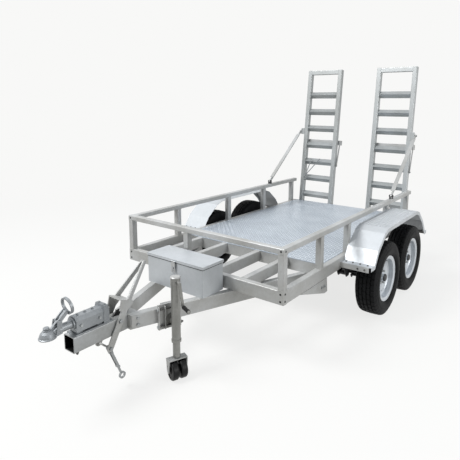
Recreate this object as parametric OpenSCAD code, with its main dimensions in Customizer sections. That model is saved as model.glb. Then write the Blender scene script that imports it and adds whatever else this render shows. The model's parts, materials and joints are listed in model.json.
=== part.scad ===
// Tandem plant trailer with a rail surround, a toolbox on the drawbar and two stand-up ramps.
// Millimetres. X runs across the trailer, Y towards the ramps, Z up from the ground.

/* [Bed] */
// Width over the side beams
bed_w = 1590; // [1400:10:1800]
// Length from the front beam to the rear beam
bed_l = 2750; // [2400:10:3200]
// Height of the deck over the ground
deck_z = 580; // [560:5:640]
// Height of the main beams
beam_h = 100; // [80:5:120]
// Width of the main beams
beam_w = 50; // [40:5:60]
// Thickness of the deck plate
deck_t = 4; // [3:1:6]
// Start of the deck plate behind the open front bay
deck_start = 630; // [500:10:700]

/* [Rails] */
// Top of the rails over the deck
rail_top = 296; // [250:1:350]
// Height of the top rail section
rail_h = 40; // [30:1:50]
// Side of the square rail posts
post_w = 50; // [40:1:60]

/* [Drawbar] */
// Front end of the drawbar pole ahead of the bed
pole_front = 1068; // [900:1:1200]
// Side of the square drawbar pole
pole_w = 100; // [80:1:110]
// Spread of each drawbar rail from the centre line in degrees
rail_spread = 21.8; // [15:0.1:25]

/* [Toolbox] */
// Width of the toolbox lid
tool_w = 572; // [500:2:620]
// Depth of the toolbox lid
tool_d = 230; // [200:2:240]
// Height of the toolbox with its lid
tool_h = 229; // [200:1:260]

/* [Wheels] */
// Radius of the tyres
tyre_r = 328; // [300:1:330]
// Width of the tyres
tyre_w = 205; // [165:5:205]
// Distance between the two axles
axle_gap = 672; // [670:2:740]
// Place of the axle pair behind the front of the bed
axle_mid = 1640; // [1500:10:1800]

/* [Ramps] */
// Length of each ramp from its hinge
ramp_l = 1749; // [1500:1:1800]
// Width of each ramp
ramp_w = 482; // [400:2:520]
// Backward lean of the standing ramps in degrees
ramp_lean = 6.1; // [4:0.1:10]
// Distance of each ramp from the centre line
ramp_in = 235; // [200:5:260]

/* [Jockey stand] */
// Radius of the outer leg
leg_r = 30; // [26:1:32]
// Radius of the twin wheels
jockey_r = 68; // [62:1:72]

/* [Hidden] */
$fn = 64;
galvanised = [0.72, 0.74, 0.76];
dark_steel = [0.22, 0.23, 0.25];
black = [0.05, 0.05, 0.06];
half_w = bed_w / 2;
inner_x = half_w - beam_w;
beam_z = deck_z - beam_h;
rail_z = deck_z + rail_top;
corner_r = 6;
vent_r = 6;
vent_in = 24;
nose_y = -1241;
fit_gap = 0.05;

// Places along the bed
cross_y = [deck_start, 1040, 1450, 1860, 2270];
joist_x = [-540, -240, 130, 420];
left_posts = [530, 1290, 1960, 2610];
right_posts = [530, 1025, 1960, 2610];
front_posts = [-half_w, -140, half_w - post_w];

// Wheels
wheel_out = 1077;
wheel_x = wheel_out - tyre_w / 2;
axle_y = [axle_mid - axle_gap / 2, axle_mid + axle_gap / 2];
stub_r = 17;

// Drawbar rails
rail_foot = [79, -690];
drawbar_z = beam_z - beam_h;
drawbar_end = deck_start + beam_w;

// Coupling
cup_r = 48;
ball_y = nose_y + cup_r;
ball_r = 25.5;
cup_z = drawbar_z + 140;
shaft_z = drawbar_z + 165;
shaft_r = 25;

// Brake lever
lever_pivot = [-755, drawbar_z + 82];
rod_pivot = [-836, drawbar_z - 66];

// Jockey stand, measured along and out from the drawbar rail
jockey_along = 274;
jockey_out = 80;
swing_z = 395;
leg_top = 703;
leg_bottom = 262;
caster_turn = 90;
caster_trail = 6;

// Ramps
hinge_y = bed_l + 35;
hinge_z = deck_z - 20;
hinge_pin_r = 10;
stile_w = 50;
stile_front = -25;
stile_d = 67;
rung_pitch = 220;
rung_first = 108;
rung_count = 7;
strut_up = 945;
strut_x = half_w - beam_w / 2;
strut_foot = [2130, rail_z + 29];
stand_up = 515;
stand_pin_y = 28;
tail_y = hinge_y + (stile_front + stile_d) * cos(ramp_lean) + ramp_l * sin(ramp_lean);
mid_y = (nose_y + tail_y) / 2;

module placed() {
    translate([0, -mid_y, 0])
        children();
}

module both_sides() {
    children();
    mirror([1, 0, 0])
        children();
}

// Rectangle with rounded corners about the origin
module soft_rect(w, h, r = corner_r) {
    square([w - 2 * r, h], center = true);
    square([w, h - 2 * r], center = true);
    for (sx = [-1, 1], sy = [-1, 1])
        translate([sx * (w / 2 - r), sy * (h / 2 - r)])
            circle(r = r, $fn = 32);
}

// Steel section between two corners, rounded along its length
module bar_x(a, b, r = corner_r) {
    translate([a[0], (a[1] + b[1]) / 2, (a[2] + b[2]) / 2])
        rotate([90, 0, 90])
            linear_extrude(b[0] - a[0])
                soft_rect(b[1] - a[1], b[2] - a[2], r);
}

module bar_y(a, b, r = corner_r) {
    translate([(a[0] + b[0]) / 2, b[1], (a[2] + b[2]) / 2])
        rotate([90, 0, 0])
            linear_extrude(b[1] - a[1])
                soft_rect(b[0] - a[0], b[2] - a[2], r);
}

module bar_z(a, b, r = corner_r) {
    translate([(a[0] + b[0]) / 2, (a[1] + b[1]) / 2, a[2]])
        linear_extrude(b[2] - a[2])
            soft_rect(b[0] - a[0], b[1] - a[1], r);
}

module block(a, b) {
    translate(a)
        cube(b - a);
}

module rod_x(x0, x1, y, z, r) {
    translate([x0, y, z])
        rotate([0, 90, 0])
            cylinder(r = r, h = x1 - x0);
}

module rod_y(y0, y1, x, z, r) {
    translate([x, y1, z])
        rotate([90, 0, 0])
            cylinder(r = r, h = y1 - y0);
}

// Outline in the Y and Z plane pushed out along X
module side_shape(x0, x1, points) {
    translate([x0, 0, 0])
        rotate([90, 0, 90])
            linear_extrude(x1 - x0)
                polygon(points);
}

// Straight bar with round ends between two points of the Y and Z plane
module link(x0, x1, a, b, w) {
    reach = norm(b - a);
    turn = atan2(b[1] - a[1], b[0] - a[0]);
    translate([x0, a[0], a[1]])
        rotate([90, 0, 90])
            rotate([0, 0, turn])
                linear_extrude(x1 - x0) {
                    translate([0, -w / 2])
                        square([reach, w]);
                    circle(d = w);
                    translate([reach, 0])
                        circle(d = w);
                }
}

module side_beams() {
    color(galvanised)
        both_sides()
            bar_y([inner_x, beam_w, beam_z], [half_w, bed_l, deck_z]);
}

module front_beam() {
    color(galvanised)
        difference() {
            bar_x([-half_w, 0, beam_z], [half_w, beam_w, deck_z]);
            rod_y(-1, 8, half_w - vent_in, deck_z - vent_in, vent_r);
            rod_y(-1, 8, -half_w + vent_in, beam_z + vent_in, vent_r);
        }
}

module rear_beam() {
    color(galvanised)
        bar_x([-inner_x, bed_l - beam_w, beam_z], [inner_x, bed_l, deck_z - deck_t]);
}

// Folded channel lying on its side, open towards the ramps
module channel_x(x0, x1, y, z0, z1, depth, t) {
    side_shape(x0, x1, [[y, z0], [y + depth, z0], [y + depth, z0 + t], [y + t, z0 + t],
        [y + t, z1 - t], [y + depth, z1 - t], [y + depth, z1], [y, z1]]);
}

module cross_members() {
    color(galvanised)
        for (y = cross_y)
            channel_x(-inner_x, inner_x, y, beam_z, deck_z - deck_t, beam_w, 5);
}

module front_joists() {
    color(galvanised)
        for (x = joist_x)
            bar_y([x - beam_w / 2, beam_w, beam_z + 10], [x + beam_w / 2, deck_start, deck_z]);
}

module deck_plate() {
    color(galvanised)
        block([-inner_x, deck_start, deck_z - deck_t], [inner_x, bed_l, deck_z]);
}

module post(x, y) {
    bar_z([x, y, deck_z], [x + post_w, y + post_w, rail_z - rail_h]);
}

module rail_posts() {
    color(galvanised) {
        for (x = front_posts)
            post(x, 0);
        for (y = left_posts)
            post(-half_w, y);
        for (y = right_posts)
            post(half_w - post_w, y);
    }
}

module top_rails() {
    vent_z = rail_z - rail_h / 2;
    color(galvanised) {
        difference() {
            union() {
                bar_x([-half_w, 0, rail_z - rail_h], [half_w, post_w, rail_z]);
                both_sides()
                    bar_y([half_w - post_w, post_w - corner_r - 1, rail_z - rail_h], [half_w, bed_l - 15, rail_z]);
            }
            both_sides() {
                rod_y(-1, 8, half_w - vent_in, vent_z, vent_r);
                rod_x(half_w - 8, half_w + 1, vent_in, vent_z, vent_r);
            }
        }
    }
}

module drawbar_rails() {
    color(galvanised)
        both_sides()
            difference() {
                translate([rail_foot[0], rail_foot[1], 0])
                    rotate([0, 0, -rail_spread])
                        bar_y([-beam_w, -90, drawbar_z], [0, 1600, beam_z]);
                block([-200, -900, drawbar_z - 1], [pole_w / 2, 0, beam_z + 1]);
                block([0, -900, drawbar_z - 1], [200, rail_foot[1], beam_z + 1]);
                block([0, drawbar_end, drawbar_z - 1], [900, 1200, beam_z + 1]);
            }
    color(galvanised)
        both_sides()
            on_rail()
                block([0, 6, drawbar_z + 6], [5, 84, beam_z - 6]);
}

module drawbar_pole() {
    wall = 6;
    color(galvanised)
        difference() {
            bar_y([-pole_w / 2, -pole_front, drawbar_z], [pole_w / 2, -620, drawbar_z + pole_w], 8);
            bar_y([-pole_w / 2 + wall, -pole_front - 1, drawbar_z + wall],
                [pole_w / 2 - wall, -619, drawbar_z + pole_w - wall], 4);
            rod_x(-pole_w, pole_w, lever_pivot[0], lever_pivot[1], 10 + fit_gap);
        }
}

// Hinge line of the toolbox lid
lid_hinge = [-14, beam_z + tool_h - 7];
lid_barrel_r = 4;
lid_pin_r = 2;
module toolbox() {
    wall = 3;
    lip = 5;
    low = [-tool_w / 2 + lip, -tool_d - 1, beam_z];
    high = [tool_w / 2 - lip, -18, beam_z + tool_h - wall];
    staple = [-tool_d - 1, beam_z + tool_h - 62];
    color(galvanised) {
        difference() {
            block(low, high);
            block(low + [wall, wall, wall], high + [-wall, -wall, wall]);
        }
        both_sides()
            difference() {
                union() {
                    rod_x(205, 262, lid_hinge[0], lid_hinge[1], lid_barrel_r);
                    block([205, -19, lid_hinge[1] - 4], [262, lid_hinge[0], lid_hinge[1]]);
                }
                rod_x(200, 270, lid_hinge[0], lid_hinge[1], lid_pin_r + fit_gap);
            }
        difference() {
            block([-3, staple[0] - 16, staple[1] - 8], [3, staple[0], staple[1] + 8]);
            rod_x(-5, 5, staple[0] - 9, staple[1], 4);
        }
    }
}

module toolbox_lid() {
    wall = 3;
    skirt = 20;
    top = beam_z + tool_h;
    color(galvanised) {
        difference() {
            block([-tool_w / 2, -tool_d - 6, top - skirt], [tool_w / 2, -12, top]);
            block([-tool_w / 2 + wall, -tool_d - 6 + wall, top - skirt - 1],
                [tool_w / 2 - wall, -11, top - wall]);
        }
        both_sides() {
            rod_x(146, 204, lid_hinge[0], lid_hinge[1], lid_barrel_r);
            block([146, -17, lid_hinge[1]], [204, -12, top - wall + 1]);
            rod_x(150, 262, lid_hinge[0], lid_hinge[1], lid_pin_r);
            rod_x(10, 22, latch_hinge[0], latch_hinge[1], lid_barrel_r);
            block([10, latch_hinge[0], latch_hinge[1] - 3], [22, -tool_d - 5, latch_hinge[1] + 3]);
        }
        rod_x(-22, 22, latch_hinge[0], latch_hinge[1], lid_pin_r);
    }
}

// Drop latch of the lid, forked so that it rides off the staple
latch_hinge = [-tool_d - 11, beam_z + tool_h - 12];
module toolbox_latch() {
    low = latch_hinge[1] - 82;
    color(galvanised)
        difference() {
            union() {
                rod_x(-9, 9, latch_hinge[0], latch_hinge[1], lid_barrel_r);
                block([-18, latch_hinge[0] - 3, low], [18, latch_hinge[0] + 1, latch_hinge[1] - 8]);
                block([-9, latch_hinge[0] - 3, latch_hinge[1] - 12], [9, latch_hinge[0] + 1, latch_hinge[1]]);
            }
            block([-8, latch_hinge[0] - 10, low - 1], [8, latch_hinge[0] + 10, low + 46]);
            rod_x(-20, 20, latch_hinge[0], latch_hinge[1], lid_pin_r + fit_gap);
        }
}

// Mudguard outline, from the front bolting flange over the wheels to the rear one
guard_in = half_w;
guard_out = 1065;
guard_t = 3;
guard_mid = axle_mid + 20;
guard_top = 795;
guard_front = [[775, 545], [712, 545], [640, 652], [495, 768], [410, guard_top]];
guard_rear = [[410, guard_top], [495, 768], [640, 652], [745, 515], [795, 515]];
guard_line = concat(
    [for (p = guard_front) [guard_mid - p[0], p[1]]],
    [for (p = guard_rear) [guard_mid + p[0], p[1]]]);

function unit(v) = v / norm(v);
function left_of(v) = [-v[1], v[0]];
// Line moved to its right by a distance, mitred at the bends
function beside(line, gap) = [
    for (i = [0:len(line) - 1])
        let (before = unit(line[max(i, 1)] - line[max(i, 1) - 1]),
            after = unit(line[min(i, len(line) - 2) + 1] - line[min(i, len(line) - 2)]),
            out = unit(left_of(before) + left_of(after)))
            line[i] - out * gap / (out * left_of(after))];
function backwards(line) = [for (i = [len(line) - 1:-1:0]) line[i]];

module guard() {
    rib_w = 14;
    rib_h = 3;
    rib_count = 6;
    rib_step = 38;
    side_shape(guard_in, guard_out, concat(guard_line, backwards(beside(guard_line, guard_t))));
    side_shape(guard_out - guard_t, guard_out, concat(guard_line, backwards(beside(guard_line, 34))));
    for (i = [0:rib_count - 1])
        translate([guard_in + 36 + i * rib_step, 0, 0])
            rotate([90, 0, 0])
                translate([0, guard_top - 1, -guard_mid - 400])
                    linear_extrude(800)
                        polygon([[-rib_w / 2, 0], [rib_w / 2, 0], [rib_w / 4, rib_h + 1], [-rib_w / 4, rib_h + 1]]);
}

module mudguards() {
    color(galvanised)
        both_sides()
            guard();
}

// Angle bars that carry the ends of the mudguards
module mudguard_stays() {
    t = 4;
    ends = [guard_front[0], guard_rear[len(guard_rear) - 1]];
    color(galvanised)
        both_sides()
            for (way = [0, 1])
                translate([0, guard_mid, 0])
                    mirror([0, way, 0])
                        translate([0, -ends[way][0] - 8, ends[way][1] - guard_t]) {
                            block([half_w, 0, -t], [guard_out - 20, 70, 0]);
                            block([half_w, 0, -42], [guard_out - 20, t, -t]);
                        }
}

// Tapered plate under the right beam, folded inwards along its rear edge
module side_bracket() {
    t = 4;
    color(galvanised)
        difference() {
            union() {
                side_shape(half_w - t, half_w, [[230, beam_z], [640, beam_z], [652, 365], [610, 362]]);
                side_shape(half_w - 40, half_w, [[640, beam_z], [640 + t, beam_z], [652 + t, 365], [652, 365]]);
            }
            rod_x(half_w - 10, half_w + 10, 560, 425, 7);
            rod_x(half_w - 10, half_w + 10, 600, 425, 7);
        }
}

module axles() {
    color(dark_steel)
        for (y = axle_y) {
            bar_x([-wheel_x + 76, y - 23, tyre_r - 23], [wheel_x - 76, y + 23, tyre_r + 23], 5);
            rod_x(-wheel_x - 30, wheel_x + 30, y, tyre_r, stub_r);
            both_sides()
                rod_x(wheel_x - 83, wheel_x - 76, y, tyre_r, 118);
        }
}

// Leaf spring over one axle, as a stack of bowed leaves between two eyes
spring_half = 300;
spring_rise = 42;
leaf_t = 8;
leaf_count = 4;
spring_seat = tyre_r + 23;
function bow(y, lift) = spring_seat + lift + spring_rise * pow(y / spring_half, 2);

module leaf(i) {
    reach = spring_half * (1 - 0.2 * i);
    steps = 10;
    low = leaf_t * (leaf_count - 1 - i);
    line = [for (k = [-steps:steps]) [reach * k / steps, bow(reach * k / steps, low)]];
    side_shape(-30, 30, concat(line, [for (p = backwards(line)) p + [0, leaf_t + 0.01]]));
}

module leaf_springs() {
    eye_z = spring_seat + leaf_t * leaf_count + spring_rise - 16;
    clamp_top = spring_seat + leaf_t * leaf_count + 8;
    color(dark_steel)
        both_sides() {
            for (y = axle_y)
                translate([half_w - beam_w / 2, y, 0]) {
                    for (i = [0:leaf_count - 1])
                        leaf(i);
                    for (way = [-1, 1])
                        rod_x(-30, 30, way * spring_half, eye_z, 18);
                    block([-46, -42, spring_seat + leaf_t * leaf_count - 1], [46, 42, clamp_top]);
                    block([-46, -42, tyre_r - 33], [46, 42, tyre_r - 23]);
                    for (x = [-37, 37], way = [-34, 34])
                        translate([x, way, tyre_r - 46])
                            cylinder(r = 6, h = clamp_top + 16 - tyre_r + 46);
                }
            side_shape(half_w - beam_w / 2 - 30, half_w - beam_w / 2 + 30, [[axle_mid - 70, eye_z - 14],
                [axle_mid + 70, eye_z - 14], [axle_mid + 70, eye_z + 14], [axle_mid, eye_z + 46], [axle_mid - 70, eye_z + 14]]);
        }
}

module spring_hangers() {
    eye_z = spring_seat + leaf_t * leaf_count + spring_rise - 16;
    color(dark_steel)
        both_sides()
            for (y = [axle_y[0] - spring_half, axle_mid, axle_y[1] + spring_half])
                translate([half_w - beam_w / 2, y, 0]) {
                    for (x = [-40, 34])
                        side_shape(x, x + 6, [[-75, beam_z], [75, beam_z], [32, eye_z - 10], [22, eye_z - 24],
                            [-22, eye_z - 24], [-32, eye_z - 10]]);
                    for (x = [-48, 31])
                        rod_x(x, x + 17, 0, eye_z, 9);
                }
}

// Tyre and rim, turned about the wheel's own centre
bead_r = 178;
flange_r = 197;
bead_half = 72;
module tyre() {
    half = tyre_w / 2;
    groove = [-50, -17, 17, 50];
    outer = [[bead_r, -bead_half], [flange_r, -bead_half], [206, -half + 17], [216, -half + 8],
        [234, -half + 1], [262, -half],
        [288, -half + 5], [306, -half + 13], [tyre_r - 7, -half + 21]];
    inner = [[bead_r, bead_half - 20], [190, bead_half - 14], [206, half - 32], [262, half - 10],
        [292, half - 20], [tyre_r - 17, half - 40]];
    tread = [for (g = groove, e = [[-4, 0], [-3, 8], [3, 8], [4, 0]])
        [tyre_r - (abs(g) > 30 ? 1.5 : 0) - e[1], g + e[0]]];
    color(black)
        rotate([0, 90, 0])
            rotate_extrude($fn = 96)
                polygon(concat(outer, tread, [for (p = backwards(outer)) [p[0], -p[1]]],
                    inner, [for (p = backwards(inner)) [p[0], -p[1]]]));
}

module rim() {
    lip = flange_r + 4;
    barrel = [[lip, -bead_half - 10], [lip, -bead_half - 7], [flange_r, -bead_half], [bead_r, -bead_half],
        [bead_r, -48], [163, -38], [163, 12], [bead_r, 30], [bead_r, bead_half], [flange_r, bead_half],
        [lip, bead_half + 7], [lip, bead_half + 10], [190, bead_half + 9], [173, bead_half + 2], [172, 32],
        [157, 15], [157, -40], [172, -51], [173, -bead_half - 2], [190, -bead_half - 9]];
    disc = [[159, 14], [150, 17], [132, 34], [112, 40], [92, 34], [80, 24], [40, 22],
        [40, 16], [82, 18], [96, 28], [112, 34], [130, 28], [148, 11], [159, 8]];
    color("silver")
        rotate([0, 90, 0])
            difference() {
                union() {
                    rotate_extrude($fn = 96)
                        polygon(barrel);
                    rotate_extrude($fn = 96)
                        polygon(disc);
                    rotate_extrude()
                        polygon([[0, -70], [52, -70], [52, 10], [44, 23], [32, 24], [30, 56], [24, 62], [0, 62]]);
                }
                translate([0, 0, -71])
                    cylinder(r = stub_r + fit_gap, h = 71 + 31);
                for (a = [15:30:345])
                    rotate([0, 0, a])
                        translate([140, 0, 0])
                            cylinder(r = 10, h = 60);
            }
}

module coupling_housing() {
    base = drawbar_z + pole_w;
    color("lightgray")
        difference() {
            union() {
                block([-48, -1050, base], [48, -800, base + 8]);
                translate([0, -858, base])
                    rotate([90, 0, 0])
                        linear_extrude(184)
                            polygon([[-44, 20], [44, 20], [44, 84], [24, 106], [-24, 106], [-44, 84]]);
                rod_y(-1052, -1041, 0, shaft_z, 36);
                for (y = [-1034, -900])
                    block([-34, y, base + 7], [34, y + 34, base + 30]);
                block([-46, -862, base + 7], [46, -822, base + 92]);
                side_shape(-46, 46, [[-862, base + 90], [-822, base + 90], [-830, base + 118], [-854, base + 118]]);
                for (y = [-1010, -960, -910])
                    translate([0, y, base + 104])
                        cylinder(r = 7, h = 8);
            }
            rod_y(-1100, -790, 0, shaft_z, shaft_r + fit_gap);
        }
}

handle_pivot = [ball_y + 62, cup_z + 73];
handle_tip = [ball_y + 108, cup_z + 114];
handle_pin_r = 6;
ring_r = 48;
ring_lean = 10;
ring_foot = [ball_y + 136, cup_z + 98];
module coupling_head() {
    color("lightgray") {
        difference() {
            translate([0, ball_y, cup_z])
                rotate_extrude($fn = 96)
                    polygon([[0, 0], [cup_r, 0], [cup_r, 5], [44, 8], [42, 18], [36, 32], [27, 41], [18, 44], [0, 44]]);
            translate([0, ball_y, cup_z - 1])
                cylinder(r = ball_r, h = 25);
            translate([0, ball_y, cup_z + 14])
                sphere(r = ball_r);
        }
        translate([0, ball_y - 4, cup_z + 42])
            rotate_extrude()
                polygon([[0, 0], [19, 0], [19, 8], [13, 10], [13, 13], [17, 14], [17, 20], [14, 23], [0, 23]]);
        side_shape(-30, 30, [[ball_y + 30, cup_z + 1], [ball_y + 74, cup_z + 6], [ball_y + 74, cup_z + 16],
            [ball_y + 30, cup_z + 12]]);
        side_shape(-24, 24, [[ball_y + 26, cup_z + 6], [ball_y + 76, cup_z + 6], [ball_y + 76, cup_z + 50],
            [ball_y + 50, cup_z + 48], [ball_y + 26, cup_z + 36]]);
        side_shape(-8, 8, [[ball_y + 12, cup_z + 40], [ball_y + 58, cup_z + 81], [ball_y + 64, cup_z + 66],
            [ball_y + 64, cup_z + 40], [ball_y + 16, cup_z + 26]]);
        rod_y(ball_y + 58, -1118, 0, shaft_z, 32);
        rod_y(-1120, -850, 0, shaft_z, shaft_r);
        for (x = [-30, 22])
            side_shape(x, x + 8, [for (p = [[-26, -60], [12, -60], [12, 8], [-10, 12]]) p + handle_pivot]);
        rod_x(-24, 24, handle_pivot[0], handle_pivot[1], handle_pin_r);
    }
}

// Release handle: two cheeks and a back plate up to the pull ring
module coupling_handle() {
    color("lightgray") {
        difference() {
            union() {
                for (x = [-18, 10])
                    link(x, x + 8, handle_pivot, handle_tip, 24);
                link(-18, 18, handle_pivot + [18, 16], handle_tip, 12);
                link(-6, 6, handle_tip, ring_foot, 18);
            }
            rod_x(-20, 20, handle_pivot[0], handle_pivot[1], handle_pin_r + fit_gap);
        }
        translate([0, ring_foot[0] - ring_r * sin(ring_lean), ring_foot[1] + ring_r * cos(ring_lean)])
            rotate([ring_lean - 90, 0, 0])
                difference() {
                    translate([0, 0, -8])
                        cylinder(r = ring_r + 4, h = 16, $fn = 72);
                    translate([0, 0, -9])
                        cylinder(r = ring_r - 4, h = 18, $fn = 72);
                }
    }
}

lever_knee = [-700, 560];
lever_top = [-512, 769];
module brake_lever() {
    color(galvanised) {
        both_sides() {
            difference() {
                union() {
                    link(56, 64, rod_pivot, lever_knee, 45);
                    side_shape(56, 64, [[-760, 530], [-708, 508], [-652, 552], [-660, 570], [-742, 600]]);
                }
                rod_x(50, 70, rod_pivot[0], rod_pivot[1], 4);
            }
            hull() {
                rod_x(56, 63, -690, 570, 19);
                rod_x(5, 12, lever_top[0], lever_top[1], 15);
            }
        }
        side_shape(-64, 64, [[-742, 600], [-746, 592], [-664, 560], [-660, 570]]);
        rod_x(-12, 12, lever_top[0], lever_top[1], 12);
        rod_x(-72, 72, lever_pivot[0], lever_pivot[1], 10);
        rod_x(-68, 68, rod_pivot[0], rod_pivot[1], 6);
    }
}

module brake_bracket() {
    top = drawbar_z + pole_w;
    color(dark_steel)
        difference() {
            side_shape(-6, 6, [[-775, top], [-650, top], [-652, top + 20], [-690, top + 36], [-740, top + 30]]);
            rod_x(-10, 10, -706, top + 20, 6);
        }
}

rod_tip = [-748, 96];
module brake_rod_end() {
    x0 = 40;
    along = unit(rod_tip - rod_pivot);
    color("gray")
        difference() {
            union() {
                link(x0 - 6, x0 + 6, rod_pivot, rod_pivot + along * 40, 28);
                for (x = [x0 - 14, x0 + 8])
                    link(x, x + 6, rod_pivot + along * 44, rod_pivot + along * 168, 13);
                for (at = [44, 168])
                    link(x0 - 13, x0 + 13, rod_pivot + along * (at - 3), rod_pivot + along * (at + 3), 18);
                link(x0 - 4, x0 + 4, rod_pivot + along * 160, rod_tip + along * 2, 13);
                rod_x(x0 - 6, x0 + 6, rod_tip[0] + 6, rod_tip[1] - 14, 23);
            }
            rod_x(x0 - 8, x0 + 8, rod_pivot[0], rod_pivot[1], 6 + fit_gap);
            rod_x(x0 - 8, x0 + 8, rod_tip[0] + 6, rod_tip[1] - 14, 13);
        }
}

// Frame of the drawbar rail on the right: X out from its face, Y along it
module on_rail() {
    translate([rail_foot[0], rail_foot[1], 0])
        rotate([0, 0, -rail_spread])
            children();
}

module jockey_clamp() {
    flange_at = 50;
    color(galvanised)
        on_rail() {
            block([0, jockey_along - 98, 332], [8, jockey_along + flange_at + 6, 506]);
            for (at = [-98, -flange_at - 6, flange_at])
                block([7, jockey_along + at, 340], [32, jockey_along + at + 6, 498]);
            rod_x(7, 22, jockey_along, swing_z, 12);
            block([-beam_w - 10, jockey_along - flange_at - 6, beam_z], [8, jockey_along + flange_at + 6, beam_z + 8]);
            block([-beam_w - 10, jockey_along - flange_at - 6, drawbar_z - 8], [8, jockey_along + flange_at + 6, drawbar_z]);
            block([-beam_w - 10, jockey_along - flange_at - 6, drawbar_z - 8],
                [-beam_w, jockey_along + flange_at + 6, beam_z + 8]);
        }
}

module jockey_leg() {
    crank_z = leg_top - 18;
    color(galvanised)
        on_rail()
            difference() {
                union() {
                    rod_x(11, 18, jockey_along, swing_z, 42);
                    rod_x(16, jockey_out, jockey_along, swing_z, 28);
                    translate([jockey_out, jockey_along, leg_bottom])
                        cylinder(r = leg_r, h = leg_top - leg_bottom);
                    translate([jockey_out, jockey_along, leg_bottom])
                        cylinder(r = leg_r + 3, h = 18);
                    translate([jockey_out, jockey_along, leg_top - 46])
                        cylinder(r = leg_r + 3, h = 48);
                    rod_x(jockey_out, jockey_out + leg_r + 7, jockey_along, crank_z, 14);
                }
                rod_x(9, 24, jockey_along, swing_z, 12 + fit_gap);
                translate([jockey_out, jockey_along, leg_bottom - 1])
                    cylinder(r = leg_r - 5 + fit_gap, h = leg_top - leg_bottom - 44);
                rod_x(jockey_out + leg_r - 10, jockey_out + leg_r + 12, jockey_along, crank_z, 8 + fit_gap);
            }
}

fork_z = 2 * jockey_r + 12;
module jockey_inner_tube() {
    color("silver")
        on_rail()
            difference() {
                translate([jockey_out, jockey_along, fork_z + 8])
                    cylinder(r = leg_r - 5, h = 390);
                translate([jockey_out, jockey_along, fork_z])
                    cylinder(r = 12 + fit_gap, h = 60);
            }
}

module jockey_crank() {
    x0 = jockey_out + leg_r;
    z0 = leg_top - 18;
    arm_end = [jockey_along + 20, z0 - 158];
    color(galvanised)
        on_rail() {
            rod_x(x0 - 8, x0 + 46, jockey_along, z0, 8);
            link(x0 + 38, x0 + 46, [jockey_along, z0], arm_end, 18);
            translate([x0 + 44, arm_end[0], arm_end[1]])
                rotate([0, 90, 0])
                    rotate_extrude()
                        polygon([[0, 0], [8, 0], [8, 8], [13, 12], [12, 34], [11, 58], [13, 86], [11, 96], [0, 98]]);
        }
}

// Caster: flat plate over both wheels and a side plate outside each
module jockey_fork() {
    half = 60;
    hub = [-caster_trail, jockey_r];
    color(galvanised)
        on_rail()
            translate([jockey_out, jockey_along, 0])
                rotate([0, 0, caster_turn]) {
                    block([-half - 6, -28 - caster_trail / 2, fork_z - 6], [half + 6, 28 - caster_trail / 2, fork_z]);
                    for (x = [-half - 6, half])
                        difference() {
                            union() {
                                side_shape(x, x + 6, [[-28 - caster_trail / 2, fork_z - 1], hub - [16, 0],
                                    hub + [16, 0], [28 - caster_trail / 2, fork_z - 1]]);
                                rod_x(x, x + 6, hub[0], hub[1], 16);
                            }
                            rod_x(x - 1, x + 7, hub[0], hub[1] + 34, 5);
                        }
                    rod_x(-half - 6, half + 6, hub[0], hub[1], 8);
                    translate([0, 0, fork_z - 1])
                        cylinder(r = 12, h = 32);
                }
}

module jockey_wheels() {
    color(black)
        on_rail()
            translate([jockey_out, jockey_along, jockey_r])
                rotate([0, 0, caster_turn])
                    for (x = [-56, 4])
                        translate([x, -caster_trail, 0])
                            rotate([0, 90, 0])
                                rotate_extrude($fn = 72)
                                    polygon([[8 + fit_gap, 0], [22, 0], [24, 5], [jockey_r - 20, 7], [jockey_r - 16, 3],
                                        [jockey_r - 5, 5], [jockey_r, 12], [jockey_r, 40], [jockey_r - 5, 47],
                                        [jockey_r - 16, 49], [jockey_r - 20, 45], [24, 47], [22, 52], [8 + fit_gap, 52]]);
}

// Frame of the right ramp: its hinge line at the origin, Z up along the stiles
module on_ramp() {
    translate([0, hinge_y, hinge_z])
        rotate([-ramp_lean, 0, 0])
            children();
}

// Angle bar with its corner towards the load
module rung(x0, x1, z) {
    leg = 58;
    t = 5;
    translate([x0, stile_front + 4, z])
        rotate([90, 0, 90])
            rotate([0, 0, -45])
                linear_extrude(x1 - x0)
                    polygon([[0, 0], [leg, 0], [leg, t], [t, t], [t, leg], [0, leg]]);
}

module ramp() {
    x1 = ramp_in + ramp_w;
    color(galvanised)
        on_ramp()
            difference() {
                union() {
                    for (x = [ramp_in, x1 - stile_w])
                        bar_z([x, stile_front, -18], [x + stile_w, stile_front + stile_d, ramp_l]);
                    for (i = [0:rung_count - 1])
                        rung(ramp_in + stile_w - 2, x1 - stile_w + 2, rung_first + i * rung_pitch);
                    bar_x([ramp_in + stile_w - 2, stile_front + 4, ramp_l - 56],
                        [x1 - stile_w + 2, stile_front + 44, ramp_l - 2]);
                    rod_x(strut_x - 20, strut_x + 12, stile_front + 3, strut_up, 7);
                    block([x1 - 2, stile_front, strut_up - 40], [strut_x - 14, stile_front + 6, strut_up + 40]);
                    block([strut_x - 20, stile_front - 10, strut_up - 34], [strut_x - 13, stile_front + 16, strut_up + 34]);
                    for (x = [ramp_in - 14, x1 - 4])
                        rod_x(x, x + 18, stand_pin_y, stand_up, 6);
                }
                for (x = [ramp_in, x1 - stile_w])
                    rod_x(x - 5, x + stile_w + 5, 0, 0, hinge_pin_r + fit_gap);
            }
}

module ramp_stand() {
    x1 = ramp_in + ramp_w;
    top = stand_up + 290;
    color(galvanised)
        on_ramp()
            difference() {
                union() {
                    for (x = [ramp_in - 9, x1 + 3])
                        link(x, x + 6, [stand_pin_y, stand_up], [stile_front + stile_d + 40, top], 26);
                    bar_x([ramp_in - 12, stile_front + stile_d + 6, top - 20],
                        [x1 + 12, stile_front + stile_d + 92, top + 40], 4);
                }
                rod_x(ramp_in - 20, x1 + 20, stand_pin_y, stand_up, 6 + fit_gap);
            }
}

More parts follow.
